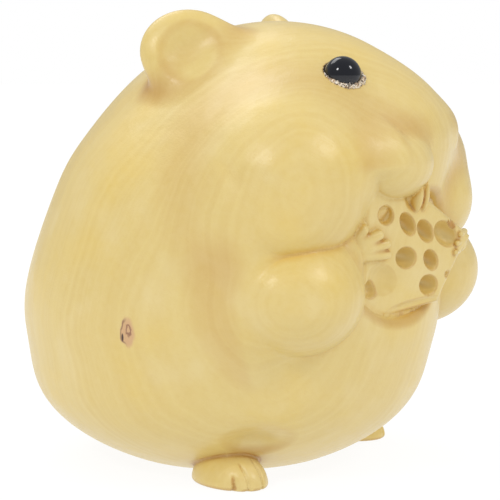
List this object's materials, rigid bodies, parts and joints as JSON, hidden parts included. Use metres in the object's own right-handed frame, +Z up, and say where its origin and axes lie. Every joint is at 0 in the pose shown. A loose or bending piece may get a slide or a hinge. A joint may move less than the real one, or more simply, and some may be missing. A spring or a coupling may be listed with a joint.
{
  "type": "wooden hamster figurine",
  "caption": "Carved boxwood figurine of a plump sitting hamster that holds a wedge of cheese to its mouth, with black bead eyes.",
  "frame": {"origin": "on the floor under the middle of the figurine's box", "axes": "+Z up, -Y the way the hamster faces, -X its right side"},
  "size_m": [0.0464, 0.0506, 0.05],
  "materials": {
    "boxwood": "waxed satin boxwood with fine grain",
    "black_bead": "polished black bead"
  },
  "bodies": {
    "root": {"hamster_body": "boxwood", "eye_right": "black_bead", "eye_left": "black_bead"}
  },
  "joints": []
}
